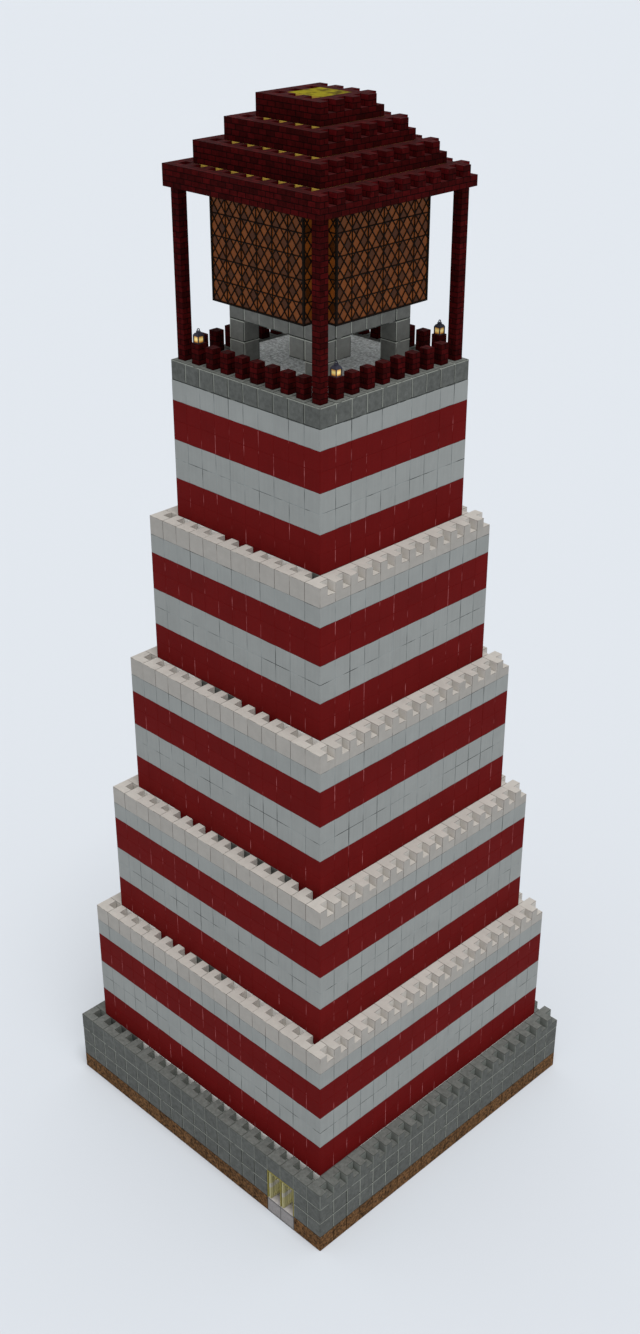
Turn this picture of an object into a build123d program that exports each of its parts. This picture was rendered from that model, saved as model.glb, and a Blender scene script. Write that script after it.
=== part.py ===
"""Square stepped lighthouse with striped tiers, a railed gallery, an amber
lantern and a stepped brick roof, built as a 1:2 scale model.

Lengths are millimetres. The origin is the centre of the underside, +Z is up,
the doors are in the -Y face and +X is on the right of the doors.
"""
import os
from math import sqrt

from build123d import *

# Masonry module
block_length = 500.0
course_height = 500.0
run_joint = 4.0
notch_share = 0.5

# Tower, counted in blocks and courses
base_half_block_count = 10
wall_block_count = 2
footing_course_count = 1
base_course_count = 2
tier_count = 5
tier_course_count = 8

# Doorway
door_offset_block_count = 6
door_block_count = 2
leaf_count = 2
door_post_width = 24.0
door_post_depth = 110.0
door_head_height = 44.0
door_gap = 8.0
leaf_thickness = 90.0
leaf_stile = 70.0
leaf_rail = 90.0
leaf_middle_rail = 150.0
leaf_panel_recess = 14.0
pin_diameter = 30.0
pin_length = 24.0
pin_clearance = 0.1
pin_end_clearance = 6.0

# Gallery
railing_post_side = 250.0
railing_course_count = 1
corner_post_course_count = 8

# Small lanterns on the railing
lamp_side = 188.0
lamp_plate = 18.0
lamp_bar = 22.0
lamp_glass_height = 150.0
lamp_cap_height = 50.0
lamp_cap_top = 124.0
lamp_vent_diameter = 110.0
lamp_vent_height = 40.0
lamp_ring_diameter = 84.0
lamp_ring_wire = 16.0

# Pedestal under the main lantern
pedestal_half_block_count = 3
pier_course_count = 2
lintel_course_count = 1

# Main lantern
lantern_half_block_count = 4
lantern_corner_block_count = 1
lantern_course_count = 5
lantern_plate = 40.0
lantern_post = 50.0
pane_thickness = 26.0
pane_inset = 24.0

# Roof
roof_course_count = 4
core_wall = 120.0

base_half = base_half_block_count * block_length
wall = wall_block_count * block_length
tier_height = tier_course_count * course_height
footing_top = footing_course_count * course_height
base_top = footing_top + base_course_count * course_height
tower_top = base_top + tier_count * tier_height
gallery_half = base_half - tier_count * block_length
gallery_top = tower_top + course_height
railing_top = gallery_top + railing_course_count * course_height
post_line = gallery_half - block_length / 2
pier_top = gallery_top + pier_course_count * course_height
lantern_bottom = pier_top + lintel_course_count * course_height
lantern_top = lantern_bottom + lantern_course_count * course_height
roof_bottom = gallery_top + corner_post_course_count * course_height


def slab(x, y, z):
    """Box between two limits on each axis."""
    size = (x[1] - x[0], y[1] - y[0], z[1] - z[0])
    return Pos(x[0], y[0], z[0]) * Box(*size, align=(Align.MIN,) * 3)


def turned(solid, quarters):
    """Copy of a solid turned about the tower's axis by quarter turns."""
    return Rot(0, 0, 90 * quarters) * solid


def front_and_back(half, width, z):
    """Two walls that run the full width of a square storey."""
    return [slab((-half, half), (-half, width - half), z),
            slab((-half, half), (half - width, half), z)]


def sides(half, width, z, gap=0):
    """Two walls that stand between the front and back walls."""
    length = (width - half + gap, half - width - gap)
    return [slab((-half, width - half), length, z),
            slab((half - width, half), length, z)]


def doorway_split(wall_run):
    """Front wall parted by the doorway, as its two outer lengths."""
    box = wall_run.bounding_box()
    y, z = (box.min.Y, box.max.Y), (box.min.Z, box.max.Z)
    return [slab((box.min.X, door_left), y, z), slab((door_right, box.max.X), y, z)]


def notched(run, half):
    """Run of blocks, each with the far right quarter of its upper half cut out."""
    box = run.bounding_box()
    step = notch_share * block_length
    top = (box.max.Z - notch_share * course_height, box.max.Z)
    cells = [number * block_length - half for number in range(round(2 * half / block_length))]
    columns = [x for x in cells if box.min.X < x + block_length / 2 < box.max.X]
    rows = [y for y in cells if box.min.Y < y + block_length / 2 < box.max.Y]
    cuts = [slab((x + block_length - step, x + block_length),
                 (y + block_length - step, y + block_length), top)
            for x in columns for y in rows]
    return run - cuts


def notched_course(half, bottom):
    """Square course of notched blocks in four runs, parted by mortar joints."""
    z = (bottom, bottom + course_height)
    runs = front_and_back(half, block_length, z) + sides(half, block_length, z, run_joint)
    return [notched(run, half) for run in runs]


def cross_plate(z):
    """Plate with the lantern's outline: a square with its corners left out."""
    half = lantern_half_block_count * block_length
    arm = half - lantern_corner_block_count * block_length
    return slab((-half, half), (-arm, arm), z) + slab((-arm, arm), (-half, half), z)


# Base
door_left = door_offset_block_count * block_length
door_right = door_left + door_block_count * block_length
footing = (0, footing_top)
base = (footing_top, base_top)
floor_half = base_half - wall
nodes = {}

footing_runs = front_and_back(base_half, wall, footing)
nodes["footing_front_and_back"] = doorway_split(footing_runs[0]) + footing_runs[1:]
nodes["footing_sides"] = sides(base_half, wall, footing)
nodes["ground_floor"] = [slab((-floor_half, floor_half), (-floor_half, floor_half), footing)]
base_runs = front_and_back(base_half, wall, base)
nodes["base_front_and_back_walls"] = doorway_split(base_runs[0]) + base_runs[1:]
nodes["base_side_walls"] = sides(base_half, wall, base)
nodes["base_coping"] = notched_course(base_half, base_top)

# Doors, standing open as in the photo, each hung on its left edge
bay = (door_right - door_left - (leaf_count + 1) * door_post_width) / leaf_count
leaf_turn = bay - 2 * door_gap - leaf_thickness / 2
leaf_reach = sqrt(leaf_turn ** 2 - (leaf_thickness / 2) ** 2)
leaf_bottom = footing_top + door_gap
leaf_top = base_top - door_head_height - door_gap
pivot_y = door_gap + leaf_thickness / 2 - base_half
pivots = [door_left + door_post_width + door_gap + leaf_thickness / 2 + number * (bay + door_post_width)
          for number in range(leaf_count)]


def pivot_pin(x, z, diameter):
    """Upright cylinder on a leaf's pivot line."""
    return Pos(x, pivot_y, z[0]) * Cylinder(diameter / 2, z[1] - z[0],
                                            align=(Align.CENTER, Align.CENTER, Align.MIN))


def door_leaf(x):
    """Panelled leaf with a round heel and a pivot pin at its top and bottom."""
    outline = Rectangle(leaf_thickness, leaf_reach, align=(Align.CENTER, Align.MIN)) + Circle(leaf_thickness / 2)
    leaf = Pos(x, pivot_y, leaf_bottom) * extrude(outline, leaf_top - leaf_bottom)
    middle = (leaf_bottom + leaf_top) / 2
    panel_y = (pivot_y + leaf_stile, pivot_y + leaf_reach - leaf_stile)
    panel_z = [(leaf_bottom + leaf_rail, middle - leaf_middle_rail / 2),
               (middle + leaf_middle_rail / 2, leaf_top - leaf_rail)]
    skin = leaf_thickness / 2
    for z in panel_z:
        leaf -= slab((x + skin - leaf_panel_recess, x + skin), panel_y, z)
        leaf -= slab((x - skin, x - skin + leaf_panel_recess), panel_y, z)
    leaf += pivot_pin(x, (footing_top - pin_length, leaf_bottom), pin_diameter)
    leaf += pivot_pin(x, (leaf_top, base_top - door_head_height + pin_length), pin_diameter)
    return leaf


socket = pin_diameter + 2 * pin_clearance
socket_depth = pin_length + pin_end_clearance
threshold = slab((door_left, door_right), (-base_half, wall - base_half), footing)
door_head = slab((door_left, door_right), (-base_half, door_post_depth - base_half),
                 (base_top - door_head_height, base_top))
for pivot in pivots:
    threshold -= pivot_pin(pivot, (footing_top - socket_depth, footing_top), socket)
    door_head -= pivot_pin(pivot, (base_top - door_head_height,
                                   base_top - door_head_height + socket_depth), socket)
nodes["door_threshold"] = [threshold]
nodes["door_head"] = [door_head]
nodes["door_posts"] = [slab((x, x + door_post_width), (-base_half, door_post_depth - base_half),
                            (footing_top, base_top - door_head_height))
                       for x in (door_left, door_left + door_post_width + bay, door_right - door_post_width)]
nodes["left_door"] = [door_leaf(pivots[0])]
nodes["right_door"] = [door_leaf(pivots[1])]

# Tiers, each standing back one block and bearing on the inner half of the wall below
for number in range(tier_count):
    tier = f"tier_{number + 1}"
    half = base_half - (number + 1) * block_length
    bottom = base_top + number * tier_height
    z = (bottom, bottom + tier_height)
    nodes[tier + "_front_and_back_walls"] = front_and_back(half, wall, z)
    nodes[tier + "_side_walls"] = sides(half, wall, z)
    if number + 1 < tier_count:
        nodes[tier + "_coping"] = notched_course(half, bottom + tier_height)

# Gallery and its posts
nodes["gallery_floor"] = [slab((-gallery_half, gallery_half), (-gallery_half, gallery_half),
                               (tower_top, gallery_top))]
reach = railing_post_side / 2
post_places = [number * block_length - post_line for number in range(round(2 * post_line / block_length) + 1)]
rail_z = (gallery_top, railing_top)
nodes["railing_posts"] = [turned(slab((x - reach, x + reach), (-post_line - reach, reach - post_line), rail_z), side)
                          for side in range(4) for x in post_places[1:-1]]
nodes["corner_posts"] = [turned(slab((post_line - reach, post_line + reach), (-post_line - reach, reach - post_line),
                                     (gallery_top, roof_bottom)), side) for side in range(4)]

# Small lanterns, one beside each corner of the railing
lamp_half = lamp_side / 2
lamp_glass_z = (lamp_plate, lamp_plate + lamp_glass_height)
lamp_cap_z = lamp_glass_z[1] + lamp_plate
lamp_ring_z = lamp_cap_z + lamp_cap_height + lamp_vent_height + lamp_ring_diameter / 2 - lamp_ring_wire
square = (-lamp_half, lamp_half)
lamp_frame = slab(square, square, (0, lamp_plate)) + slab(square, square, (lamp_glass_z[1], lamp_cap_z))
corner_bar = slab((lamp_half - lamp_bar, lamp_half), (lamp_half - lamp_bar, lamp_half), lamp_glass_z)
for side in range(4):
    lamp_frame += turned(corner_bar, side)
lamp_frame += loft([Pos(0, 0, lamp_cap_z) * Rectangle(lamp_side, lamp_side),
                    Pos(0, 0, lamp_cap_z + lamp_cap_height) * Rectangle(lamp_cap_top, lamp_cap_top)])
lamp_frame += Pos(0, 0, lamp_cap_z + lamp_cap_height) * Cylinder(
    lamp_vent_diameter / 2, lamp_vent_height, align=(Align.CENTER, Align.CENTER, Align.MIN))
lamp_ring = Circle(lamp_ring_diameter / 2) - Circle(lamp_ring_diameter / 2 - lamp_ring_wire)
lamp_frame += Pos(0, lamp_ring_wire / 2, lamp_ring_z) * Rot(90, 0, 0) * extrude(lamp_ring, lamp_ring_wire)
glass = (lamp_bar - lamp_half, lamp_half - lamp_bar)
lamp_glass = slab(glass, glass, lamp_glass_z)
lamp_place = Pos(post_line, block_length - post_line, railing_top)
nodes["gallery_lantern_frames"] = [turned(lamp_place * lamp_frame, side) for side in range(4)]
nodes["gallery_lantern_glass"] = [turned(lamp_place * lamp_glass, side) for side in range(4)]

# Pedestal: corner piers, bracket blocks on two of them, and a ring of lintels
pedestal_half = pedestal_half_block_count * block_length
pier = (pedestal_half - block_length, pedestal_half)
pier_front = (-pedestal_half, block_length - pedestal_half)
bracket = (pier[0] - block_length, pier[0])
bracket_front = (pier_front[1], pier_front[1] + block_length)
pier_z = (gallery_top, pier_top)
bracket_z = (pier_top - course_height, pier_top)
lintel_z = (pier_top, lantern_bottom)
nodes["pedestal_piers"] = [turned(slab(pier, pier_front, pier_z), side) for side in range(4)]
nodes["pedestal_brackets"] = [turned(block, half_turn)
                              for block in (slab(bracket, pier_front, bracket_z), slab(pier, bracket_front, bracket_z))
                              for half_turn in (0, 2)]
nodes["pedestal_lintels"] = (front_and_back(pedestal_half, block_length, lintel_z)
                             + sides(pedestal_half, block_length, lintel_z, run_joint))

# Main lantern: floor and ceiling plates, posts at every corner and amber panes
lantern_half = lantern_half_block_count * block_length
arm = lantern_half - lantern_corner_block_count * block_length
pane_z = (lantern_bottom + lantern_plate, lantern_top - lantern_plate)
nodes["lantern_floor"] = [cross_plate((lantern_bottom, pane_z[0]))]
nodes["lantern_ceiling"] = [cross_plate((pane_z[1], lantern_top))]
corner_places = [(arm, lantern_post - lantern_half), (lantern_half, lantern_post - arm), (arm, lantern_post - arm)]
nodes["lantern_posts"] = [turned(slab((x - lantern_post, x), (y - lantern_post, y), pane_z), side)
                          for side in range(4) for x, y in corner_places]
pane_depth = (pane_inset, pane_inset + pane_thickness)
main_pane = slab((lantern_post - arm, arm - lantern_post),
                 (pane_depth[0] - lantern_half, pane_depth[1] - lantern_half), pane_z)
for side, name in enumerate(("front", "right", "back", "left")):
    nodes[f"lantern_{name}_glass"] = [turned(main_pane, side)]
corner_panes = [slab((arm - pane_depth[1], arm - pane_depth[0]), (lantern_post - lantern_half, -arm), pane_z),
                slab((arm, lantern_half - lantern_post), (pane_depth[0] - arm, pane_depth[1] - arm), pane_z)]
nodes["lantern_corner_glass"] = [turned(pane, side) for side in range(4) for pane in corner_panes]

# Roof: notched brick courses around a hollow stepped core
core = None
hollow = None
for number in range(roof_course_count):
    half = gallery_half - number * block_length
    bottom = roof_bottom + number * course_height
    nodes[f"roof_course_{number + 1}"] = notched_course(half, bottom)
    inner = half - block_length
    step = slab((-inner, inner), (-inner, inner), (roof_bottom, bottom + course_height))
    space_half = inner - core_wall
    space = slab((-space_half, space_half), (-space_half, space_half),
                 (roof_bottom, bottom + course_height - core_wall))
    core = step if core is None else core + step
    hollow = space if hollow is None else hollow + space
nodes["roof_core"] = [core - hollow]

os.makedirs("parts", exist_ok=True)
for name, solids in nodes.items():
    pieces = [piece for solid in solids for piece in solid.solids()]
    shape = pieces[0] if len(pieces) == 1 else Compound(children=pieces)
    shape.label = name
    export_step(shape, os.path.join("parts", name + ".step"))
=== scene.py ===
"""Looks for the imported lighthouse, a half-scale model of a stepped masonry tower.

Lengths are metres in the part's frame: +Z is up, the doors are in the -Y face.
"""
import math

import bpy
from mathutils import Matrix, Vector


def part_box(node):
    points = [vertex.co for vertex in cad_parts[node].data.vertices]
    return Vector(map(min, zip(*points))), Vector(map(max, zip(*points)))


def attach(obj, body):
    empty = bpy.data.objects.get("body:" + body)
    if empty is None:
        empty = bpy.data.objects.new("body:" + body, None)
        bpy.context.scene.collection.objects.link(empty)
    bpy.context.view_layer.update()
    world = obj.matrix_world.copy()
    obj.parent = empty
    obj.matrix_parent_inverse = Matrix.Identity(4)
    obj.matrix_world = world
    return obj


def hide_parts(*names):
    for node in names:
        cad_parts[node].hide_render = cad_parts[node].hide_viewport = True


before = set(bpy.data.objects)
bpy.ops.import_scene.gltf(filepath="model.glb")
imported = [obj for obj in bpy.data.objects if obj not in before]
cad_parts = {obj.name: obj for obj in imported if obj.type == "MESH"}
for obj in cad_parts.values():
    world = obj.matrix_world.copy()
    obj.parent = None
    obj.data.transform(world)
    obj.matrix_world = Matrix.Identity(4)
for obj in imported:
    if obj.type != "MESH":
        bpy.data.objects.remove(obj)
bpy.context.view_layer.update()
mm = 0.001
quarter = math.pi / 2

# Masonry module, read from the gallery floor, which is one course high
gallery_blocks = 10
gallery_low, gallery_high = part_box("gallery_floor")
block = (gallery_high.x - gallery_low.x) / gallery_blocks
course = gallery_high.z - gallery_low.z
wall = 2 * block

# Joints, drawn wider than a mason's so that they show, and with drafted margins on the grey stone
joint_half = 9 * mm
stone_joint_half = 22 * mm
joint_depth = 8 * mm
painted_joint_depth = 3 * mm
arris = 4 * mm

# Wear on the edges of the notched blocks and of the posts
stone_wear = 12 * mm
limestone_wear = 8 * mm
brick_wear = 2 * mm

# Striped tiers. The course behind each coping is laid three blocks at a time: white, red or grey
tier_names = ("tier_1", "tier_2", "tier_3", "tier_4", "tier_5")
red_courses = (1, 2, 5, 6)
backing_run = 3
backing = {"tier_1": "gwwwww", "tier_2": "wrgwwr", "tier_3": "wrggr", "tier_4": "wgrw", "tier_5": "wrwg"}

# Brickwork: courses of the roof, and posts of the gallery
roof_courses = ("roof_course_1", "roof_course_2", "roof_course_3", "roof_course_4")
post_side = 250 * mm

# Diamond panes of the main lantern, set between slanting iron glazing bars
pane_width = block / 2
pane_height = 2 * course / 3
glazing_bar_width = 32 * mm
glazing_bar_depth = 15 * mm
upright_bar_width = 26 * mm
upright_bar_depth = 21 * mm
# A block line has no bar where it lies within this share of a block from a pane's end
end_share = 0.01

# Door leaves: middle rail, boards and their grooves, and how far from its heel a leaf is darkened by painted
# shade
door_rail_half = 75 * mm
door_board = 70 * mm
groove_half = 2 * mm
groove_reach = 6 * mm
heel_shade_reach = 90 * mm
heel_shade_end = 220 * mm

# Sizes of the patterns in the finishes, drawn as coarse as they need to show
streak_width = block / 7
streak_length = 20 * streak_width
fired_patch = 2 * block / 9
glass_ream = block / 6
wood_grain_width = block / 30
wood_grain_length = block / 2

# Span that a noise seldom leaves
noise_span = {"From Min": 0.3, "From Max": 0.7}
# Share of a block by which the grid of block tones is moved, so that no face lies on its lines
tone_shift_share = 0.02
# On a front, dirt spreads further from an edge than from an upright joint, by one over this share
edge_share = 0.3
# Rise of the noise over which a patch in a coat sets in
patch_fade = 0.2
# Change of roughness, either way, over the grain of a stone and the patches of a coat
stone_gloss_change = 0.12
coat_gloss_change = 0.1
# Light that smoked panes keep, and that the doors keep under their painted shade on the edges and towards the
# heel
smoked_share = 0.42
edge_shade_share = 0.42
heel_shade_share = 0.5


def colour(code):
    """Linear colour of an sRGB hex code."""
    values = [int(code[place:place + 2], 16) / 255 for place in (1, 3, 5)]
    return [v / 12.92 if v <= 0.04045 else ((v + 0.055) / 1.055) ** 2.4 for v in values] + [1.0]


def node(material, kind, sockets=None, **settings):
    """Adds a shader node with its settings, and with values or links on its sockets.

    A node that is given for a socket stands for its first output.
    """
    made = material.node_tree.nodes.new(kind)
    for name, value in settings.items():
        setattr(made, name, value)
    for name, value in (sockets or {}).items():
        source = value.outputs[0] if isinstance(value, bpy.types.Node) else value
        if isinstance(source, bpy.types.NodeSocket):
            material.node_tree.links.new(source, made.inputs[name])
        else:
            made.inputs[name].default_value = source
    return made


def blank(name):
    """New empty material, with the Object coordinates that its patterns are drawn on."""
    material = bpy.data.materials.new(name)
    material.use_nodes = True
    material.node_tree.nodes.clear()
    place = node(material, "ShaderNodeTexCoord").outputs["Object"]
    return material, place


def finished(material, sockets):
    """Closes a material with its shader."""
    shader = node(material, "ShaderNodeBsdfPrincipled", sockets)
    node(material, "ShaderNodeOutputMaterial", {"Surface": shader})
    return material


def facing_up(material):
    """How far a face looks up: 1 on tops, 0 on walls and -1 on undersides."""
    facing = node(material, "ShaderNodeNewGeometry")
    return node(material, "ShaderNodeSeparateXYZ", {0: facing.outputs["True Normal"]}).outputs[2]


def wall_axes(material, place):
    """Distance along a wall and up it, whichever way the wall faces. Tops use X and Y."""
    facing = node(material, "ShaderNodeNewGeometry")
    turn = node(material, "ShaderNodeVectorMath", {0: facing.outputs["True Normal"]}, operation="ABSOLUTE")
    normal = node(material, "ShaderNodeSeparateXYZ", {0: turn})
    axes = node(material, "ShaderNodeSeparateXYZ", {0: place})
    along = node(material, "ShaderNodeMix", {0: normal.outputs[0], 2: axes.outputs[0], 3: axes.outputs[1]})
    up = node(material, "ShaderNodeMix", {0: normal.outputs[2], 2: axes.outputs[2], 3: axes.outputs[1]})
    return along, up


def stone_finish(name, code, mottle_size, mottle, block_tint, grain_size, roughness, streaks=0.0, flags=0.0,
                 top_light=0.0, specular=0.1):
    """Masonry whose blocks differ a little in tone, mottled, grained, and streaked by rain.

    flags darkens the joints of a paved floor and the upper edge of its front. A further share pales all tops
    with painted top light.
    """
    material, place = blank(name)
    shifted = node(material, "ShaderNodeVectorMath", {
        0: place, 1: (1 / block,) * 3, 2: (tone_shift_share,) * 3}, operation="MULTIPLY_ADD")
    cell = node(material, "ShaderNodeVectorMath", {0: shifted}, operation="FLOOR")
    tone = node(material, "ShaderNodeTexWhiteNoise", {"Vector": cell}, noise_dimensions="3D")
    tint = node(material, "ShaderNodeMapRange", {"Value": tone, "To Min": 1 - block_tint,
                                                 "To Max": 1 + block_tint})
    clouds = node(material, "ShaderNodeTexNoise", {"Vector": place, "Scale": 1 / mottle_size, "Detail": 5.0,
                                                   "Roughness": 0.62})
    worn = node(material, "ShaderNodeMapRange", {"Value": clouds, **noise_span, "To Min": 1 - mottle,
                                                 "To Max": 1 + mottle})
    value = node(material, "ShaderNodeMath", {0: tint, 1: worn}, operation="MULTIPLY")
    if streaks:
        stretched = node(material, "ShaderNodeMapping", {
            "Vector": place, "Scale": (1 / streak_width, 1 / streak_width, 1 / streak_length)})
        runs = node(material, "ShaderNodeTexNoise", {"Vector": stretched, "Scale": 1.0, "Detail": 3.0})
        rain = node(material, "ShaderNodeMapRange", {"Value": runs, "From Min": 0.35, "From Max": 0.75,
                                                     "To Min": 1.0, "To Max": 1 - streaks})
        value = node(material, "ShaderNodeMath", {0: value, 1: rain}, operation="MULTIPLY")
    if flags:
        along, up = wall_axes(material, place)
        top = facing_up(material)
        half_on = node(material, "ShaderNodeMath", {0: top, 1: block / 2, 2: up}, operation="MULTIPLY_ADD")
        upright = node(material, "ShaderNodeMath", {0: along, 1: block / 2}, operation="PINGPONG")
        level = node(material, "ShaderNodeMath", {0: half_on, 1: block / 2}, operation="PINGPONG")
        spread = node(material, "ShaderNodeMath", {0: top, 1: 1 - edge_share, 2: edge_share},
                      operation="MULTIPLY_ADD")
        edge = node(material, "ShaderNodeMath", {0: level, 1: spread}, operation="MULTIPLY")
        nearest = node(material, "ShaderNodeMath", {0: upright, 1: edge}, operation="MINIMUM")
        width = node(material, "ShaderNodeMath", {
            0: top, 1: joint_half - stone_joint_half, 2: stone_joint_half}, operation="MULTIPLY_ADD")
        gap = node(material, "ShaderNodeMapRange", {"Value": nearest, "From Max": width, "To Min": 1 - flags,
                                                    "To Max": 1.0})
        value = node(material, "ShaderNodeMath", {0: value, 1: gap}, operation="MULTIPLY")
    # Painted top light: the tops are paled, so that they stand brighter than the fronts
    if top_light:
        top_lit = node(material, "ShaderNodeMapRange", {"Value": facing_up(material), "To Min": 1.0,
                                                        "To Max": 1 + top_light})
        value = node(material, "ShaderNodeMath", {0: value, 1: top_lit}, operation="MULTIPLY")
    paint = node(material, "ShaderNodeHueSaturation", {"Color": colour(code), "Value": value})
    grain = node(material, "ShaderNodeTexNoise", {"Vector": place, "Scale": 1 / grain_size, "Detail": 4.0})
    bump = node(material, "ShaderNodeBump", {"Height": grain, "Strength": 0.35,
                                             "Distance": 0.25 * grain_size})
    gloss = node(material, "ShaderNodeMapRange", {"Value": grain, "To Min": roughness - stone_gloss_change,
                                                  "To Max": roughness + stone_gloss_change})
    return finished(material, {"Base Color": paint, "Roughness": gloss, "Normal": bump, "IOR": 1.5,
                               "Specular IOR Level": specular})


def joint_finish(name, joint_code, wall_code, patch_size, bare_from, bed_cover, shade_code=None,
                 half=joint_half, fade=0.08):
    """Mortar that shows in patches, where a noise passes bare_from, and shows less in the bed joints.

    The colour after bed_cover is painted shade, along the foot of each block and down its right side, as if
    light came from the upper left, and fade is how much further the noise rises until the mortar is wholly
    bare. Patches are twice as tall as wide.
    """
    material, place = blank(name)
    drawn_out = node(material, "ShaderNodeMapping", {"Vector": place, "Scale": (1.0, 1.0, 0.5)})
    patches = node(material, "ShaderNodeTexNoise", {"Vector": drawn_out, "Scale": 1 / patch_size,
                                                    "Detail": 2.0})
    along, up = wall_axes(material, place)
    off_bed = node(material, "ShaderNodeMath", {0: up, 1: course / 2}, operation="PINGPONG")
    bed_reach = 1.5 * half
    bed = node(material, "ShaderNodeMath", {0: off_bed, 1: bed_reach}, operation="LESS_THAN")
    bare = node(material, "ShaderNodeMath", {0: bed, 1: -bed_cover, 2: patches}, operation="MULTIPLY_ADD")
    shown = node(material, "ShaderNodeMapRange", {"Value": bare, "From Min": bare_from,
                                                  "From Max": bare_from + fade})
    mortar = colour(joint_code)
    # Painted shade: the joint darkens along the foot and down the right side of each block, as if lit from
    # the upper left
    if shade_code:
        across = node(material, "ShaderNodeMath", {0: along, 1: block}, operation="FLOORED_MODULO")
        right = node(material, "ShaderNodeMath", {0: across, 1: block / 2}, operation="GREATER_THAN")
        rise = node(material, "ShaderNodeMath", {0: up, 1: course}, operation="FLOORED_MODULO")
        foot = node(material, "ShaderNodeMath", {0: rise, 1: course / 2}, operation="LESS_THAN")
        painted_shade = node(material, "ShaderNodeMix", {0: bed, 2: right, 3: foot})
        mortar = node(material, "ShaderNodeMix", {0: painted_shade, 6: mortar, 7: colour(shade_code)},
                      data_type="RGBA").outputs[2]
    mixed = node(material, "ShaderNodeMix", {0: shown, 6: colour(wall_code), 7: mortar}, data_type="RGBA")
    return finished(material, {"Base Color": mixed.outputs[2], "Roughness": 0.9, "IOR": 1.5,
                               "Specular IOR Level": 0.05})


def brick_finish(name, light_code, dark_code, mortar_code, dust_code, dust):
    """Bricks in running bond, four courses and two bricks to a block, with pale dust on their tops."""
    material, place = blank(name)
    along, up = wall_axes(material, place)
    flat = node(material, "ShaderNodeCombineXYZ", {0: along, 1: up})
    bricks = node(material, "ShaderNodeTexBrick", {
        "Vector": flat, "Color1": colour(light_code), "Color2": colour(dark_code),
        "Mortar": colour(mortar_code), "Scale": 1.0, "Mortar Size": 10 * mm, "Mortar Smooth": 0.2,
        "Bias": 0.0, "Brick Width": block / 2, "Row Height": course / 4}, offset=0.5, squash=1.0)
    fire = node(material, "ShaderNodeTexNoise", {"Vector": place, "Scale": 1 / fired_patch, "Detail": 5.0,
                                                 "Roughness": 0.7})
    shade = node(material, "ShaderNodeMapRange", {"Value": fire, **noise_span, "To Min": 0.66,
                                                  "To Max": 1.46})
    baked = node(material, "ShaderNodeHueSaturation", {"Color": bricks.outputs["Color"], "Value": shade})
    settled = node(material, "ShaderNodeMapRange", {"Value": facing_up(material), "From Min": 0.5,
                                                    "To Max": dust})
    dusty = node(material, "ShaderNodeMix", {0: settled, 6: baked, 7: colour(dust_code)},
                 data_type="RGBA")
    height = node(material, "ShaderNodeMath", {0: fire, 1: bricks.outputs["Fac"]}, operation="SUBTRACT")
    bump = node(material, "ShaderNodeBump", {"Height": height, "Strength": 0.7, "Distance": 10 * mm})
    return finished(material, {"Base Color": dusty.outputs[2], "Roughness": 0.75, "Normal": bump, "IOR": 1.5,
                               "Specular IOR Level": 0.01})


def diamond_glass_finish(name, code, pane_bottom, tint_share):
    """Antique glass cut in diamonds of slightly different ambers.

    Every second diamond in every second row is smoked.
    """
    material, place = blank(name)
    along, up = wall_axes(material, place)
    wide = node(material, "ShaderNodeMath", {0: along, 1: pane_width}, operation="DIVIDE")
    rise = node(material, "ShaderNodeMath", {0: up, 1: pane_bottom}, operation="SUBTRACT")
    tall = node(material, "ShaderNodeMath", {0: rise, 1: pane_height}, operation="DIVIDE")
    right = node(material, "ShaderNodeMath", {0: wide, 1: tall}, operation="ADD")
    left = node(material, "ShaderNodeMath", {0: wide, 1: tall}, operation="SUBTRACT")
    slant = node(material, "ShaderNodeCombineXYZ", {0: right, 1: left})
    diamond = node(material, "ShaderNodeVectorMath", {0: slant}, operation="FLOOR")
    tone = node(material, "ShaderNodeTexWhiteNoise", {"Vector": diamond}, noise_dimensions="2D")
    tint = node(material, "ShaderNodeMapRange", {"Value": tone, "To Min": 1 - tint_share,
                                                 "To Max": 1 + tint_share})
    cell = node(material, "ShaderNodeSeparateXYZ", {0: diamond})
    odd_right = node(material, "ShaderNodeMath", {0: cell.outputs[0], 1: 1.0}, operation="PINGPONG")
    odd_left = node(material, "ShaderNodeMath", {0: cell.outputs[1], 1: 1.0}, operation="PINGPONG")
    clear = node(material, "ShaderNodeMath", {0: odd_right, 1: odd_left}, operation="MAXIMUM")
    smoke = node(material, "ShaderNodeMapRange", {"Value": clear, "To Min": smoked_share, "To Max": 1.0})
    shade = node(material, "ShaderNodeMath", {0: tint, 1: smoke}, operation="MULTIPLY")
    reams = node(material, "ShaderNodeTexNoise", {"Vector": place, "Scale": 1 / glass_ream, "Detail": 3.0})
    cloud = node(material, "ShaderNodeMapRange", {"Value": reams, **noise_span, "To Min": 0.88,
                                                  "To Max": 1.12})
    value = node(material, "ShaderNodeMath", {0: shade, 1: cloud}, operation="MULTIPLY")
    stain = node(material, "ShaderNodeHueSaturation", {"Color": colour(code), "Value": value})
    bump = node(material, "ShaderNodeBump", {"Height": reams, "Strength": 0.15, "Distance": 6 * mm})
    # Painted glow: a faint emission in the glass's own colour, lifting the panes that stand in shade
    return finished(material, {"Base Color": stain, "Roughness": 0.22, "Normal": bump, "IOR": 1.52,
                               "Specular IOR Level": 0.1, "Emission Color": stain, "Emission Strength": 0.25})


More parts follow.
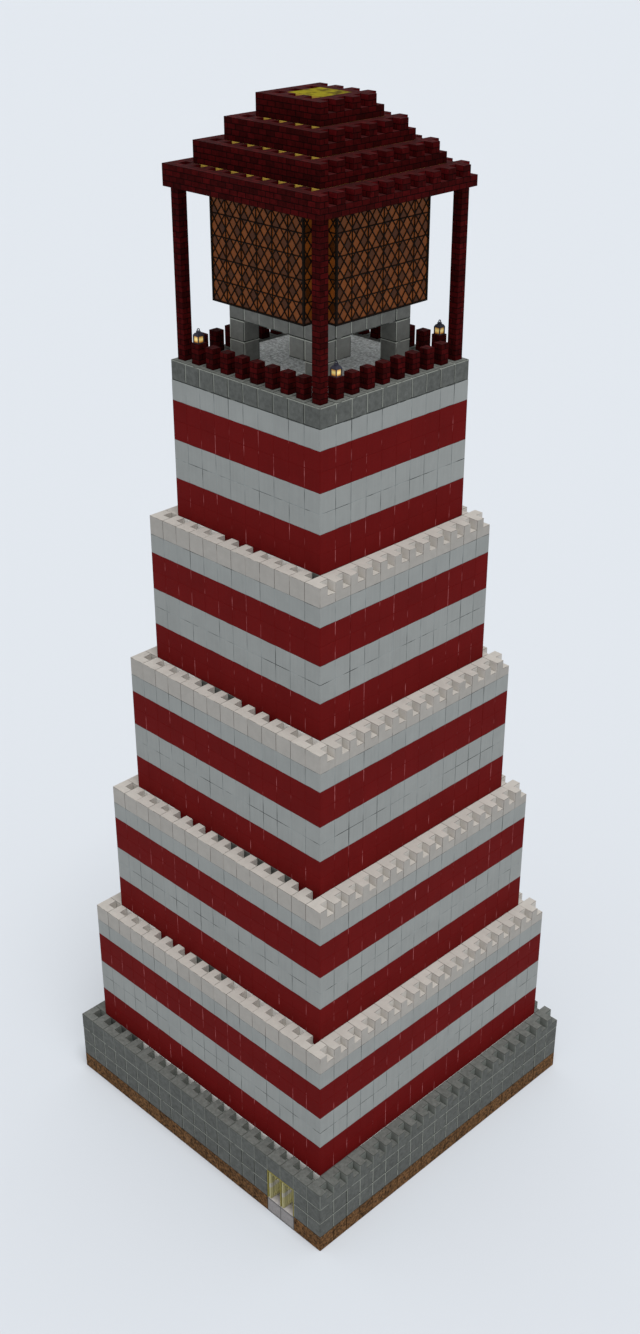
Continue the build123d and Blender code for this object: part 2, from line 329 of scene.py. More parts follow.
def coat_finish(name, code, patch_code, patch_size, patch_from, roughness, specular, wall_code=None,
                underside=False):
    """Painted or weathered coat with patches of a second colour.

    wall_code is its colour on upright faces, and on all but the undersides where only those have the coat.
    """
    material, place = blank(name)
    clouds = node(material, "ShaderNodeTexNoise", {"Vector": place, "Scale": 1 / patch_size, "Detail": 5.0,
                                                   "Roughness": 0.6})
    patch = node(material, "ShaderNodeMapRange", {"Value": clouds, "From Min": patch_from,
                                                  "From Max": patch_from + patch_fade})
    paint = node(material, "ShaderNodeMix", {0: patch, 6: colour(code), 7: colour(patch_code)},
                 data_type="RGBA")
    if wall_code:
        level = node(material, "ShaderNodeMath", {0: facing_up(material), 1: -1.0},
                     operation="MULTIPLY" if underside else "ABSOLUTE")
        paint = node(material, "ShaderNodeMix", {0: level, 6: colour(wall_code), 7: paint.outputs[2]},
                     data_type="RGBA")
    bump = node(material, "ShaderNodeBump", {"Height": clouds, "Strength": 0.2, "Distance": 3 * mm})
    gloss = node(material, "ShaderNodeMapRange", {"Value": clouds, "To Min": roughness - coat_gloss_change,
                                                  "To Max": roughness + coat_gloss_change})
    return finished(material, {"Base Color": paint.outputs[2], "Roughness": gloss, "Normal": bump,
                               "Specular IOR Level": specular})


def lamp_glass_finish(name, core_code, rim_code, bottom, top):
    """Frosted lamp glass, brightest round the flame, half-way up."""
    material, place = blank(name)
    axes = node(material, "ShaderNodeSeparateXYZ", {0: place})
    height = node(material, "ShaderNodeMapRange", {"Value": axes.outputs[2], "From Min": bottom,
                                                   "From Max": top})
    flame = node(material, "ShaderNodeMath", {0: height, 1: 0.5}, operation="PINGPONG")
    glow = node(material, "ShaderNodeMapRange", {"Value": flame, "From Min": 0.05, "From Max": 0.4})
    light = node(material, "ShaderNodeMix", {0: glow, 6: colour(rim_code), 7: colour(core_code)},
                 data_type="RGBA").outputs[2]
    return finished(material, {"Base Color": light, "Roughness": 0.4, "Emission Color": light,
                               "Emission Strength": 0.3})


def door_finish(name, code, rail_code, edge_code, middle, heel):
    """Painted boards with open board joints, a cream middle rail, and painted shade on the edges that face
    along the leaf.

    Painted shade also darkens the leaf towards the heel, which faces out of doors while the leaf stands open
    and catches more light than the face.
    """
    material, place = blank(name)
    axes = node(material, "ShaderNodeSeparateXYZ", {0: place})
    off_middle = node(material, "ShaderNodeMath", {0: axes.outputs[2], 1: middle}, operation="SUBTRACT")
    apart = node(material, "ShaderNodeMath", {0: off_middle}, operation="ABSOLUTE")
    rail = node(material, "ShaderNodeMath", {0: apart, 1: door_rail_half}, operation="LESS_THAN")
    coat = node(material, "ShaderNodeMix", {0: rail, 6: colour(code), 7: colour(rail_code)}, data_type="RGBA")
    board_joint = node(material, "ShaderNodeMath", {0: axes.outputs[1], 1: door_board / 2},
                       operation="PINGPONG")
    groove = node(material, "ShaderNodeMapRange", {"Value": board_joint, "From Min": groove_half,
                                                   "From Max": groove_reach})
    shade = node(material, "ShaderNodeMix", {0: groove, 6: colour(edge_code), 7: coat.outputs[2]},
                 data_type="RGBA")
    stretched = node(material, "ShaderNodeMapping", {
        "Vector": place, "Scale": (1 / wood_grain_width, 1 / wood_grain_width, 1 / wood_grain_length)})
    grain = node(material, "ShaderNodeTexNoise", {"Vector": stretched, "Scale": 1.0, "Detail": 4.0})
    tone = node(material, "ShaderNodeMapRange", {"Value": grain, **noise_span, "To Min": 0.9, "To Max": 1.1})
    facing = node(material, "ShaderNodeTexCoord").outputs["Normal"]
    normal = node(material, "ShaderNodeSeparateXYZ", {0: facing})
    edgewise = node(material, "ShaderNodeMath", {0: normal.outputs[1]}, operation="ABSOLUTE")
    # Painted shade on the edges that face along the leaf, and towards the heel
    edge_shade = node(material, "ShaderNodeMapRange", {"Value": edgewise, "From Min": 0.3, "From Max": 0.8,
                                                   "To Min": 1.0, "To Max": edge_shade_share})
    heel_shade = node(material, "ShaderNodeMapRange", {
        "Value": axes.outputs[1], "From Min": heel + heel_shade_reach, "From Max": heel + heel_shade_end,
        "To Min": heel_shade_share, "To Max": 1.0})
    door_shade = node(material, "ShaderNodeMath", {0: edge_shade, 1: heel_shade}, operation="MINIMUM")
    value = node(material, "ShaderNodeMath", {0: tone, 1: door_shade}, operation="MULTIPLY")
    paint = node(material, "ShaderNodeHueSaturation", {"Color": shade.outputs[2], "Value": value})
    relief = node(material, "ShaderNodeMath", {0: grain, 1: 0.2, 2: groove}, operation="MULTIPLY_ADD")
    bump = node(material, "ShaderNodeBump", {"Height": relief, "Strength": 0.5, "Distance": 4 * mm})
    return finished(material, {"Base Color": paint, "Roughness": 0.55, "Normal": bump,
                               "Specular IOR Level": 0.2})


# Masonry paint on dense blocks, rolled on: even and matt, dulled by salt and rain
white_paint = stone_finish("off_white_masonry_paint", "#979a98", mottle_size=700 * mm, mottle=0.05,
                           block_tint=0.02, grain_size=10 * mm, roughness=0.62, streaks=0.06)
red_paint = stone_finish("oxide_red_masonry_paint", "#671111", mottle_size=800 * mm, mottle=0.07,
                         block_tint=0.02, grain_size=10 * mm, roughness=0.6, streaks=0.06, specular=0.03)
# Limewash on the course behind the copings and on the sides of the doorway, painted far brighter than the
# white bands as painted light in the shade there
limewash = stone_finish("limewash_with_painted_light", "#f4f2ef", mottle_size=400 * mm, mottle=0.05, block_tint=0.02,
                        grain_size=8 * mm, roughness=0.8)
# Lime joints: dark with dirt on the white bands, and painted over or stained on the red ones
white_joint = joint_finish("dirty_lime_joint", "#2c3031", "#969b9a", patch_size=500 * mm, bare_from=0.44,
                           bed_cover=0.0, fade=0.22)
red_joint = joint_finish("painted_lime_joint", "#cd7b7d", "#641010", patch_size=200 * mm, bare_from=0.5,
                         bed_cover=0.5, fade=0.3)
# Dressed basalt, sawn and rubbed: soft grey clouds, its tops paled by painted top light, with pale lime
# joints that carry painted shade along the foot and right side of each block
grey_stone = stone_finish("dressed_grey_stone", "#5b5d5a", mottle_size=110 * mm, mottle=0.24,
                          block_tint=0.07, grain_size=8 * mm, roughness=0.7, top_light=0.12)
grey_joint = joint_finish("pale_lime_joint", "#94978f", "#62655f", patch_size=250 * mm, bare_from=0.33,
                          bed_cover=0.04, shade_code="#393b38", half=stone_joint_half)
# Its worn arrises: dirty where they lie level, pale where they stand upright
grey_arris = coat_finish("rubbed_grey_arris", "#161816", "#4a4d49", patch_size=250 * mm, patch_from=0.5,
                         roughness=0.85, specular=0.05, wall_code="#7c7f79")
# Its notches, painted paler than the faces as painted light against the shade in them
grey_stone_notch_light = stone_finish("grey_stone_notch_light", "#7d817c", mottle_size=160 * mm, mottle=0.1,
                               block_tint=0.04, grain_size=8 * mm, roughness=0.7)
# Its edge round the gallery, painted paler than the grey stone as painted light against the roof's shadow
shadow_lifted_stone = stone_finish("grey_stone_with_painted_light", "#656763", mottle_size=90 * mm, mottle=0.24,
                             block_tint=0.05, grain_size=8 * mm, roughness=0.7)
# The same stone under the lantern, rubbed finer and paler
pedestal_stone = stone_finish("rubbed_grey_stone", "#767773", mottle_size=160 * mm, mottle=0.14,
                              block_tint=0.06, grain_size=8 * mm, roughness=0.7)
# Its joints carry the same painted shade along the foot and right side of each block
pedestal_joint = joint_finish("chalky_lime_joint", "#b8bbb2", "#7c7e7a", patch_size=250 * mm, bare_from=0.33,
                              bed_cover=0.04, shade_code="#3c3f3b", half=stone_joint_half)
# Bush-hammered granite setts: pale grey with light specks, drawn coarse enough to show
granite_sett = stone_finish("bush_hammered_granite", "#e4e8e8", mottle_size=70 * mm, mottle=0.5,
                            block_tint=0.05, grain_size=10 * mm, roughness=0.75)
granite_joint = joint_finish("granite_dust_joint", "#eff2f2", "#b4b8b8", patch_size=70 * mm, bare_from=0.45,
                             bed_cover=0.0, half=stone_joint_half)
# Limestone coping, sawn smooth and bleached, its tops paled by painted top light, with dirt along its arrises
coping_stone = stone_finish("bleached_limestone", "#a7a39d", mottle_size=250 * mm, mottle=0.06,
                            block_tint=0.035, grain_size=7 * mm, roughness=0.66, top_light=0.12)
coping_arris = joint_finish("dirty_limestone_arris", "#6f6b66", "#a39e97", patch_size=300 * mm,
                            bare_from=0.42, bed_cover=0.0)
# Its notches, painted paler as painted light against the shade in them
limestone_notch_light = stone_finish("limestone_with_notch_light", "#cecac4", mottle_size=250 * mm, mottle=0.05,
                              block_tint=0.03, grain_size=7 * mm, roughness=0.66)
# Limestone flags, dull on their faces, their tops paled by painted top light, with dirty edges
floor_stone = stone_finish("worn_limestone", "#959190", mottle_size=100 * mm, mottle=0.16, block_tint=0.05,
                           grain_size=6 * mm, roughness=0.5, flags=0.75, top_light=0.55)
# Ironstone rubble, earth brown and coarse, its lumps drawn large enough to show
footing_stone = stone_finish("earth_brown_ironstone", "#61452b", mottle_size=75 * mm, mottle=1.0,
                             block_tint=0.1, grain_size=24 * mm, roughness=0.9)
footing_joint = joint_finish("earth_brown_bedding", "#2e2114", "#563d25", patch_size=200 * mm,
                             bare_from=0.45, bed_cover=0.0)
# Clinker brick, fired nearly black, with flush dark mortar, and painted redder in the notches as painted
# light against their shade
clinker_brick = brick_finish("dark_red_clinker", "#420b0c", "#2c0808", "#170606", "#6f5959", dust=0.06)
clinker_notch_light = brick_finish("clinker_with_notch_light", "#571114", "#410b0d", "#240808", "#6f5959", dust=0.06)
# Painted sheet over the roof's core: dull yellow on its top, and painted far brighter where it stands
# upright, as painted light in the shade of the notches
yellow_sheet = coat_finish("yellow_painted_sheet", "#807609", "#443808", patch_size=220 * mm,
                           patch_from=0.46, roughness=0.6, specular=0.01, wall_code="#dcb850")
# Wrought iron under old brown paint
bar_iron = coat_finish("wrought_iron_bars", "#140d08", "#22150d", patch_size=200 * mm, patch_from=0.5,
                       roughness=0.7, specular=0.05)
# The main lantern's iron floor plate, limewashed underneath, so that it throws light on the gallery
limewashed_plate = coat_finish("limewashed_floor_plate", "#e4e2de", "#d0cdc7", patch_size=300 * mm,
                               patch_from=0.5, roughness=0.7, specular=0.05, wall_code="#140d08",
                               underside=True)
# The small lanterns' iron, blued by the fire and hardly rusted
blued_iron = coat_finish("blued_iron", "#33333f", "#241f26", patch_size=60 * mm, patch_from=0.5,
                         roughness=0.45, specular=0.15)
# Antique glass, stained amber, with reams, and a faint painted glow that lifts the panes in the shaded
# corners
lantern_low, lantern_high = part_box("lantern_front_glass")
amber_glass = diamond_glass_finish("amber_antique_glass", "#62330f", lantern_low.z, tint_share=0.2)
# Frosted glass, lit by a flame
lamp_low, lamp_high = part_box("gallery_lantern_glass")
lamp_glass = lamp_glass_finish("frosted_lamp_glass", "#ffe08c", "#c07a22", lamp_low.z, lamp_high.z)
# Oil paint on softwood boards, which show their grain, and on their frame: half matt
leaf_low, leaf_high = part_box("left_door")
door_boards = door_finish("pale_yellow_painted_boards", "#f6eeb0", "#faf5e8", "#857b3c",
                          middle=(leaf_low.z + leaf_high.z) / 2, heel=leaf_low.y)
door_frame_paint = coat_finish("olive_yellow_frame_paint", "#8e8440", "#7a7136", patch_size=100 * mm,
                               patch_from=0.5, roughness=0.55, specular=0.2)


def pick(piece, wanted):
    """Selects, in edit mode, only the faces whose centre and normal pass a test."""
    bpy.ops.object.mode_set(mode="EDIT")
    bpy.context.tool_settings.mesh_select_mode = (False, False, True)
    bpy.ops.mesh.select_all(action="DESELECT")
    bpy.ops.object.mode_set(mode="OBJECT")
    for face in piece.data.polygons:
        face.select = wanted(face.center, face.normal)
    bpy.ops.object.mode_set(mode="EDIT")


def applied(piece, name):
    """Leaves edit mode, names the piece and puts its place into its mesh."""
    bpy.ops.object.mode_set(mode="OBJECT")
    piece.name = piece.data.name = name
    bpy.ops.object.transform_apply(location=True, rotation=True, scale=True)
    return piece


def alone(piece):
    """Makes a piece the active one, and the only one that is selected."""
    bpy.ops.object.select_all(action="DESELECT")
    piece.select_set(True)
    bpy.context.view_layer.objects.active = piece


def cube(name, low, high):
    """Box between two corners, to be shaped further."""
    bpy.ops.object.select_all(action="DESELECT")
    bpy.ops.mesh.primitive_cube_add(size=1, location=(Vector(low) + Vector(high)) / 2)
    piece = bpy.context.object
    piece.scale = Vector(high) - Vector(low)
    return applied(piece, name)


def bevelled(piece, width, material=-1):
    """Takes the sharp edges off a piece."""
    worn = piece.modifiers.new("bevel", "BEVEL")
    worn.width, worn.segments, worn.limit_method, worn.material = width, 1, "ANGLE", material
    bpy.ops.object.modifier_apply(modifier=worn.name)
    return piece


def rowed(piece, step, count):
    """Repeats a piece in a straight row."""
    row = piece.modifiers.new("row", "ARRAY")
    row.count, row.use_relative_offset, row.use_constant_offset = count, False, True
    row.constant_offset_displace = step
    bpy.ops.object.modifier_apply(modifier=row.name)
    return piece


def copied(pattern, name, place=(0, 0, 0), turn=0.0):
    """Copy of a pattern with its own mesh, turned about the tower's axis and set in its place."""
    piece = pattern.copy()
    piece.data = pattern.data.copy()
    bpy.context.collection.objects.link(piece)
    alone(piece)
    piece.location, piece.rotation_euler = place, (0, 0, turn)
    return applied(piece, name)


def joined(pieces, name):
    """Joins pieces into one."""
    alone(pieces[0])
    for piece in pieces[1:]:
        piece.select_set(True)
    if len(pieces) > 1:
        bpy.ops.object.join()
    return applied(pieces[0], name)


def on_four_sides(pattern, name):
    """Copies a pattern to the four sides of the tower, as one piece."""
    return joined([copied(pattern, name + "_side", turn=side * quarter) for side in range(4)], name)


def fitted(piece, slot, *nodes):
    """Sets a fixed piece on the tower, in place of the CAD nodes that it dresses."""
    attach(piece, "tower")
    if nodes:
        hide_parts(*nodes)
    return piece


def wall_faces(normal):
    """True on walls."""
    return abs(normal.z) < 0.5


def walls_and_top(normal):
    """True on walls and tops."""
    return normal.z > -0.5


def laid_blocks(name, low, high, materials, faced=wall_faces, pair=None, corner=None, sunk=joint_depth,
                half=joint_half):
    """Mass of masonry between two corners, with a sunk joint round each faced block.

    materials holds pairs of a block's and a joint's finish, and pair(centre, normal) picks one.
    Joints that would lie on the tower's own corners, at half width corner, keep the block's finish.
    """
    across, deep, courses = [round((high[axis] - low[axis]) / size)
                             for axis, size in enumerate((block, block, course))]
    bpy.ops.object.select_all(action="DESELECT")
    bpy.ops.mesh.primitive_grid_add(x_subdivisions=across, y_subdivisions=deep, size=1,
                                    location=((low[0] + high[0]) / 2, (low[1] + high[1]) / 2, low[2]))
    piece = bpy.context.object
    piece.scale = (high[0] - low[0] - 2 * sunk, high[1] - low[1] - 2 * sunk, 1)
    applied(piece, name)
    for material in materials:
        piece.data.materials.append(material)
    top_drop = sunk if faced is walls_and_top else 0
    pick(piece, lambda centre, normal: True)
    for number in range(courses):
        rise = course - top_drop if number == courses - 1 else course
        bpy.ops.mesh.extrude_region_move(TRANSFORM_OT_translate={"value": (0, 0, rise)})
    bpy.ops.mesh.select_all(action="SELECT")
    bpy.ops.mesh.normals_make_consistent(inside=False)
    chosen = (lambda face: 2 * pair(face.center, face.normal)) if pair else (lambda face: 0)
    pick(piece, lambda centre, normal: faced(normal))
    bpy.ops.object.mode_set(mode="OBJECT")
    for face in piece.data.polygons:
        face.material_index = chosen(face) + (1 if face.select else 0)
    bpy.ops.object.mode_set(mode="EDIT")
    bpy.ops.mesh.inset(thickness=half, depth=0, use_individual=True)
    bpy.ops.object.mode_set(mode="OBJECT")
    for face in piece.data.polygons:
        on_corner = corner and min(abs(face.center.x), abs(face.center.y)) > corner - sunk - half
        if face.select or on_corner:
            face.material_index = chosen(face)
    bpy.ops.object.mode_set(mode="EDIT")
    bpy.ops.mesh.inset(thickness=arris, depth=sunk, use_individual=True)
    return applied(piece, name)


def ring(low, high, thick):
    """Four lengths of a square wall: front and back at full width, and the sides between them."""
    return [(low, Vector((high.x, low.y + thick, high.z))),
            (Vector((low.x, high.y - thick, low.z)), high),
            (Vector((low.x, low.y + thick, low.z)), Vector((low.x + thick, high.y - thick, high.z))),
            (Vector((high.x - thick, low.y + thick, low.z)), Vector((high.x, high.y - thick, high.z)))]


def masonry(name, lengths, materials, faced=wall_faces, pair=None, corner=None, sunk=joint_depth,
            half=joint_half):
    """Several lengths of masonry as one piece."""
    return joined([laid_blocks(f"{name}_{number}", low, high, materials, faced, pair, corner, sunk, half)
                   for number, (low, high) in enumerate(lengths)], name)


# Striped tiers, with bands two courses high
bands = (white_paint, white_joint, red_paint, red_joint, limewash, white_joint, grey_stone, white_joint)
white_band, red_band = 0, 1
backing_bands = {"w": 2, "r": red_band, "g": 3}


def banded(low, backed):
    """Makes the function that picks a tier's bands: by course and, behind the coping, by place."""
    def band(centre, normal):
        height = int((centre.z - low.z) / course)
        if height == 0:
            along = centre.x - low.x if abs(normal.y) > 0.5 else centre.y - low.y
            return backing_bands[backed[int(along / block / backing_run)]]
        return red_band if height in red_courses else white_band
    return band


for tier in tier_names:
    walls, sides = tier + "_front_and_back_walls", tier + "_side_walls"
    low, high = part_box(walls)
    fitted(masonry(tier + "_masonry", ring(low, high, wall), bands, wall_faces, banded(low, backing[tier]),
                   high.x, painted_joint_depth), "striped_masonry", walls, sides)

# Footing and grey stone base, both parted by the doorway
door_low, door_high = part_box("door_threshold")
door_middle = (door_low.x + door_high.x) / 2
reveal_reach = 1.5 * block


def limewashed_reveals(centre, normal):
    """Picks the pair of finishes: limewash, painted bright against the shade, on the sides of the doorway,
    and bare stone elsewhere.
    """
    return 1 if abs(normal.x) > 0.5 and abs(centre.x - door_middle) < reveal_reach else 0


for name, parts, finishes, slot, half, pair in (
        ("footing", ("footing_front_and_back", "footing_sides"), (footing_stone, footing_joint),
         "footing_stone", joint_half, None),
        ("base", ("base_front_and_back_walls", "base_side_walls"),
         (grey_stone, grey_joint, limewash, white_joint),
         "grey_stone", stone_joint_half, limewashed_reveals)):
    low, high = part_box(parts[0])
    front, *others = ring(low, high, wall)
    lengths = [(front[0], Vector((door_low.x, front[1].y, front[1].z))),
               (Vector((door_high.x, front[0].y, front[0].z)), front[1])] + others
    fitted(masonry(name + "_masonry", lengths, finishes, wall_faces, pair, high.x, half=half), slot, *parts)

# Gallery floor: grey stone edge, paved with granite
walk_half = gallery_high.x - block
paving = (grey_stone, grey_joint, granite_sett, granite_joint, shadow_lifted_stone, grey_joint)


def paved(centre, normal):
    """Picks the pair of finishes: stone on the walls, granite on the walk, and round it stone painted paler
    against the roof's shadow.
    """
    if normal.z < 0.5:
        return 0
    return 1 if max(abs(centre.x), abs(centre.y)) < walk_half else 2


fitted(masonry("gallery_paving", [(gallery_low, gallery_high)], paving, walls_and_top, paved, gallery_high.x,
               half=stone_joint_half), "grey_stone", "gallery_floor")

# Pedestal: piers at its corners, bracket stones on two of them, and lintels
pier_low, pier_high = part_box("pedestal_piers")
bracket_low, bracket_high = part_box("pedestal_brackets")
lintel_low, lintel_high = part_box("pedestal_lintels")
piers = [(Vector((x, y, pier_low.z)), Vector((x + block, y + block, pier_high.z)))
         for x in (pier_low.x, pier_high.x - block) for y in (pier_low.y, pier_high.y - block)]
brackets = []
for sign in (1, -1):
    for x, y in ((pier_high.x - 1.5 * block, pier_low.y + 0.5 * block),
                 (pier_high.x - 0.5 * block, pier_low.y + 1.5 * block)):
        centre = Vector((sign * x, sign * y, 0))
        brackets.append((Vector((centre.x - block / 2, centre.y - block / 2, bracket_low.z)),
                         Vector((centre.x + block / 2, centre.y + block / 2, bracket_high.z))))
for name, lengths, corner in (("pier", piers, None), ("bracket", brackets, None),
                              ("lintel", ring(lintel_low, lintel_high, block), lintel_high.x)):
    fitted(masonry(f"pedestal_{name}_stones", lengths, (pedestal_stone, pedestal_joint), walls_and_top, None,
                   corner, half=stone_joint_half), "grey_stone", f"pedestal_{name}s")


def notched_block(name, materials, worn, runs):
    """One block without the far right quarter of its upper half, and with worn arrises.

    materials holds the finishes of its faces, of the faces in a notch, painted paler against their shade, and
    of the arrises. The last block's notch bares an end of its upper half: runs holds the axes along which a
    notch can lie before it.
    """
    piece = cube(name, (0, 0, 0), (block, block, course / 2))
    for material in materials:
        piece.data.materials.append(material)
    pick(piece, lambda centre, normal: normal.z > 0.5)
    bpy.ops.mesh.subdivide(number_cuts=1)
    pick(piece, lambda centre, normal: normal.z > 0.5 and min(centre.x, centre.y) < block / 2)
    bpy.ops.mesh.extrude_region_move(TRANSFORM_OT_translate={"value": (0, 0, course / 2)})
    notch_reach = 0.8 * block
    pick(piece, lambda centre, normal: centre.z > course / 2 and (
        max(normal.x, normal.y) > 0.5 and max(centre.x, centre.y) < notch_reach
        or any(normal[run] < -0.5 and centre[1 - run] > block / 2 for run in runs)))
    piece.active_material_index = 1
    bpy.ops.object.material_slot_assign()
    return bevelled(applied(piece, name), worn, len(materials) - 1)


def course_patterns(name, materials, worn):
    """The three blocks that a course is made of: for its front, its sides and its back."""
    return [notched_block(name, materials, worn, runs) for runs in ((0,), (1,), (0, 1))]


def notched_course(node_name, patterns, slot):
    """Square course of notched blocks, all laid the same way round."""
    low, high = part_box(node_name)
    count = round((high.x - low.x) / block)
    front, sides, back = patterns
    runs = [rowed(copied(pattern, node_name + "_run", (low.x, y, low.z)), (block, 0, 0), count)
            for pattern, y in ((front, low.y), (back, high.y - block))]
    runs += [rowed(copied(sides, node_name + "_run", (x, low.y + block, low.z)), (0, block, 0), count - 2)
             for x in (low.x, high.x - block)]
    fitted(joined(runs, node_name + "_blocks"), slot, node_name)


# Copings of the base and of the tiers, and the roof's courses
stone_patterns = course_patterns("grey_coping_block", (grey_stone, grey_stone_notch_light, grey_arris), stone_wear)
limestone_patterns = course_patterns("limestone_coping_block", (coping_stone, limestone_notch_light, coping_arris),
                                     limestone_wear)
brick_patterns = course_patterns("brick_roof_block", (clinker_brick, clinker_notch_light, clinker_brick), brick_wear)
notched_course("base_coping", stone_patterns, "grey_stone")
for tier in tier_names[:-1]:
    notched_course(tier + "_coping", limestone_patterns, "coping_stone")
for name in roof_courses:
    notched_course(name, brick_patterns, "dark_brick")

# Brick posts: a row of short ones along each side of the gallery, and a tall one at each corner
rail_low, rail_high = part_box("railing_posts")
post_low, post_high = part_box("corner_posts")
row_start = post_low.x + block
short_count = round((post_high.x - post_low.x - post_side) / block) - 1
short_post = cube("short_post", (row_start, rail_low.y, rail_low.z),
                  (row_start + post_side, rail_low.y + post_side, rail_high.z))
short_post.data.materials.append(clinker_brick)
rowed(bevelled(short_post, brick_wear), (block, 0, 0), short_count)
tall_post = cube("tall_post", post_low, (post_low.x + post_side, post_low.y + post_side, post_high.z))
tall_post.data.materials.append(clinker_brick)
bevelled(tall_post, brick_wear)
for pattern, name in ((short_post, "railing_posts"), (tall_post, "corner_posts")):
    fitted(on_four_sides(pattern, name + "_brick"), "dark_brick", name)


def straight_bar(name, low, high):
    """Straight glazing bar, with its edges taken off."""
    bar = cube(name, low, high)
    bar.data.materials.append(bar_iron)
    return bevelled(bar, upright_bar_depth / 4)


def glazing(name, left, right, front):
    """Slanting glazing bars on the outside of a pane that faces -Y, with straight bars on the block lines."""
    bottom, top = lantern_low.z, lantern_high.z
    height = top - bottom
    slope = math.atan2(pane_height, pane_width)
    overhang = height / math.tan(slope)
    first_line = math.floor((left - overhang) / pane_width)
    count = math.ceil((right - left + overhang) / pane_width) + 2
    length = height / math.sin(slope) + 4 * glazing_bar_width
    slant = cube(name, (-length / 2, -glazing_bar_depth, -glazing_bar_width / 2),
                 (length / 2, 0, glazing_bar_width / 2))
    bevelled(slant, glazing_bar_depth / 3)
    slant.rotation_euler = (0, -slope, 0)
    slant.location = (first_line * pane_width + overhang / 2, front, bottom + height / 2)
    rowed(applied(slant, name), (pane_width, 0, 0), count)
    crossing = copied(slant, name + "_crossing")
    crossing.scale = (-1, 1, 1)
    crossing.location.x = math.ceil((left + right) / pane_width) * pane_width
    applied(crossing, crossing.name)
    pick(crossing, lambda centre, normal: True)
    bpy.ops.mesh.normals_make_consistent(inside=False)
    applied(crossing, crossing.name)
    lattice = joined([slant, crossing], name)
    for place, normal in (((left, 0, 0), (-1, 0, 0)), ((right, 0, 0), (1, 0, 0)),
                          ((0, 0, bottom), (0, 0, -1)), ((0, 0, top), (0, 0, 1))):
        pick(lattice, lambda centre, normal: True)
        bpy.ops.mesh.bisect(plane_co=place, plane_no=normal, use_fill=True, clear_outer=True)
    applied(lattice, name)
    lattice.data.materials.append(bar_iron)
    face, half = front - upright_bar_depth, upright_bar_width / 2
    lines = [number * block for number in range(math.ceil(left / block + end_share),
                                                math.ceil(right / block - end_share))]
    bars = [straight_bar(name + "_upright", (x - half, face, bottom), (x + half, front, top)) for x in lines]
    for number in range(1, round(height / course)):
        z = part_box("lantern_floor")[0].z + number * course
        bars.append(straight_bar(name + "_saddle_bar", (left, face, z - half), (right, front, z + half)))
    return joined([lattice] + bars, name)


# Glazing bars of the main lantern, modelled on the front and copied round
lantern_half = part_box("lantern_floor")[1].x
arm = lantern_half - block
pane_inset = lantern_half + lantern_low.y
lantern_post = arm - lantern_high.x
front_glazing = glazing("lantern_glazing", lantern_low.x, lantern_high.x, lantern_low.y)
for side, name in enumerate(("front", "right", "back", "left")):
    fitted(copied(front_glazing, f"lantern_{name}_glazing", turn=side * quarter), "lantern_iron")
corner_glazing = joined([glazing("corner_glazing", left, right, pane_inset - arm)
                         for left, right in ((arm, lantern_half - lantern_post),
                                             (lantern_post - lantern_half, -arm))], "corner_glazing")
fitted(on_four_sides(corner_glazing, "lantern_corner_glazing"), "lantern_iron")

for pattern in (*stone_patterns, *limestone_patterns, *brick_patterns, short_post, tall_post, front_glazing,
                corner_glazing):
    bpy.data.objects.remove(pattern)

# CAD nodes whose shape is right
kept_nodes = {
    floor_stone: ("door_threshold", "ground_floor"),
    yellow_sheet: ("roof_core",),
    limewashed_plate: ("lantern_floor",),
    bar_iron: ("lantern_ceiling", "lantern_posts"),
    amber_glass: ("lantern_front_glass", "lantern_right_glass", "lantern_back_glass", "lantern_left_glass",
                  "lantern_corner_glass"),
    blued_iron: ("gallery_lantern_frames",),
    lamp_glass: ("gallery_lantern_glass",),
    door_frame_paint: ("door_posts", "door_head"),
    door_boards: ("left_door", "right_door"),
}
for material, names in kept_nodes.items():
    for name in names:
        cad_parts[name].data.materials.clear()
        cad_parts[name].data.materials.append(material)

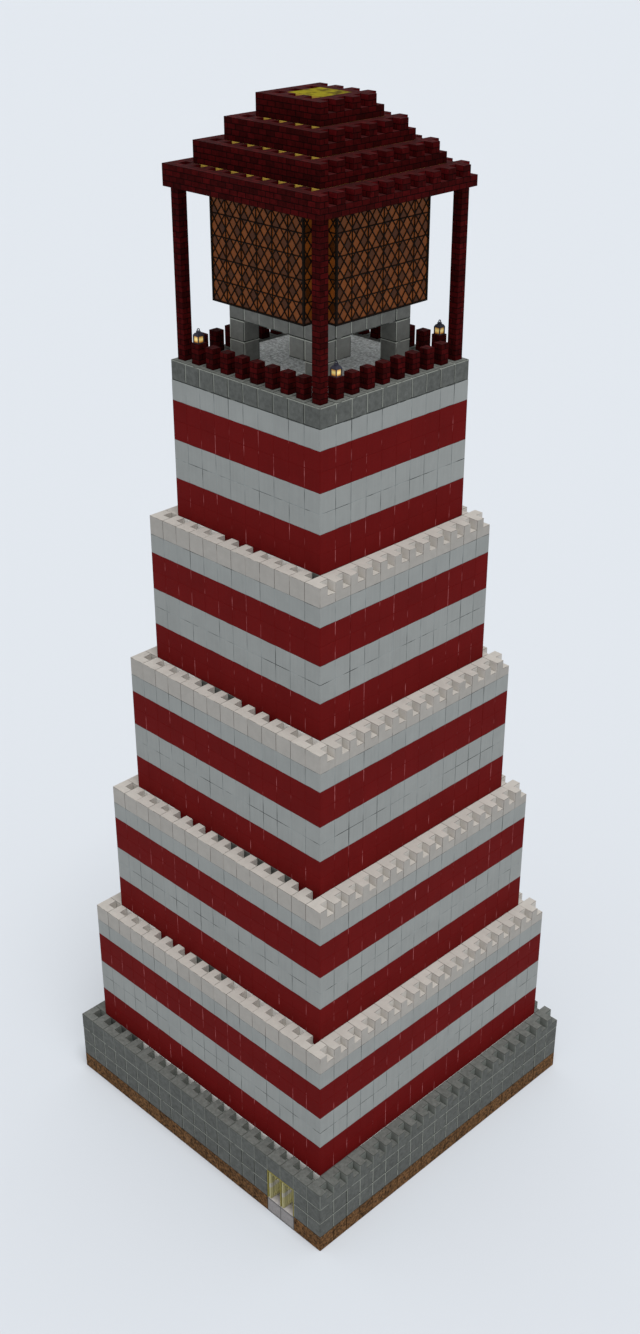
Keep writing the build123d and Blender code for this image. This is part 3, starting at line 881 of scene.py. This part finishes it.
# Plain pale floor, just under the tower
floor_side = 1600
floor_drop = 2 * mm
bpy.ops.object.select_all(action="DESELECT")
bpy.ops.mesh.primitive_plane_add(size=floor_side, location=(0, 0, -floor_drop))
floor = bpy.context.object
floor.name = "studio_floor"
floor_paint, _ = blank("studio_floor_paint")
finished(floor_paint, {"Base Color": colour("#c9ced4"), "Roughness": 0.9})
floor.data.materials.append(floor_paint)

# Soft studio light, with a backdrop as pale as the floor
fill_strength = 0.6
key_strength = 2.25
key_spread = math.radians(25)
key_direction = Vector((-0.215, 0.1, -0.97))
studio = bpy.data.worlds.new("studio")
bpy.context.scene.world = studio
studio.use_nodes = True
studio.node_tree.nodes.clear()
rays = node(studio, "ShaderNodeLightPath").outputs
seen = node(studio, "ShaderNodeMath", {0: rays["Is Camera Ray"], 1: rays["Is Glossy Ray"]},
            operation="MAXIMUM")
shown = node(studio, "ShaderNodeMath", {0: seen, 1: rays["Is Transmission Ray"]}, operation="MAXIMUM")
studio_light = node(studio, "ShaderNodeBackground", {"Color": (1, 1, 1, 1), "Strength": fill_strength})
backdrop = node(studio, "ShaderNodeBackground", {"Color": colour("#e1e6ee"), "Strength": 1.0})
surround = node(studio, "ShaderNodeMixShader", {0: shown, 1: studio_light, 2: backdrop})
node(studio, "ShaderNodeOutputWorld", {"Surface": surround})
lamp = bpy.data.lights.new("key", "SUN")
lamp.energy, lamp.angle = key_strength, key_spread
key = bpy.data.objects.new("key", lamp)
key.rotation_euler = key_direction.to_track_quat("-Z", "Y").to_euler()
bpy.context.collection.objects.link(key)

# Camera, fitted to the photo: it looks at the tower's axis from the near corner
view_angle = math.radians(28.443)
side_angle = math.radians(44.97)
view_target = Vector((0, 0, 13.704))
view_distance = 41.303
photo_height = 1334
focal_pixels = 1577.7
film_side = 36
far_clip = 2000
camera_data = bpy.data.cameras.new("camera")
camera_data.sensor_width = film_side
camera_data.lens = focal_pixels * film_side / photo_height
camera_data.clip_end = far_clip
camera = bpy.data.objects.new("camera", camera_data)
back = Vector((math.sin(side_angle) * math.cos(view_angle), -math.cos(side_angle) * math.cos(view_angle),
               math.sin(view_angle)))
camera.location = view_target + view_distance * back
camera.rotation_euler = (-back).to_track_quat("-Z", "Y").to_euler()
bpy.context.collection.objects.link(camera)
bpy.context.scene.camera = camera
bpy.context.scene.view_settings.view_transform = "Standard"
